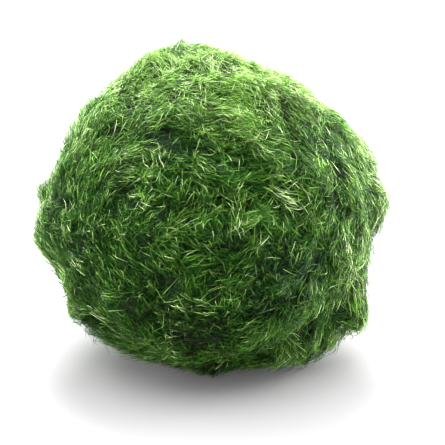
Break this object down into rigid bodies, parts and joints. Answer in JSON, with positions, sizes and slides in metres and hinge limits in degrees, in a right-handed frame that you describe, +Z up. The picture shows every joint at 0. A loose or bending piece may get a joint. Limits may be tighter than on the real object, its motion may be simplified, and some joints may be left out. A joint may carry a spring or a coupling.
{
  "type": "marimo moss ball",
  "caption": "Rounded ball of matted green algae threads, combed into raised locks and small tufts, resting on a small flat spot.",
  "frame": {"origin": "centre of the small flat spot that the ball rests on, on the surface under it", "axes": "+Z up, -Y towards the front, where the threads' whorl is, +X to the right of someone who faces the front"},
  "size_m": [0.0507, 0.0466, 0.0451],
  "materials": {
    "moss": "matt, soft and fibrous, dark green at the roots and yellow-green at the tips"
  },
  "bodies": {
    "root": {"moss_ball": "moss"}
  },
  "joints": []
}
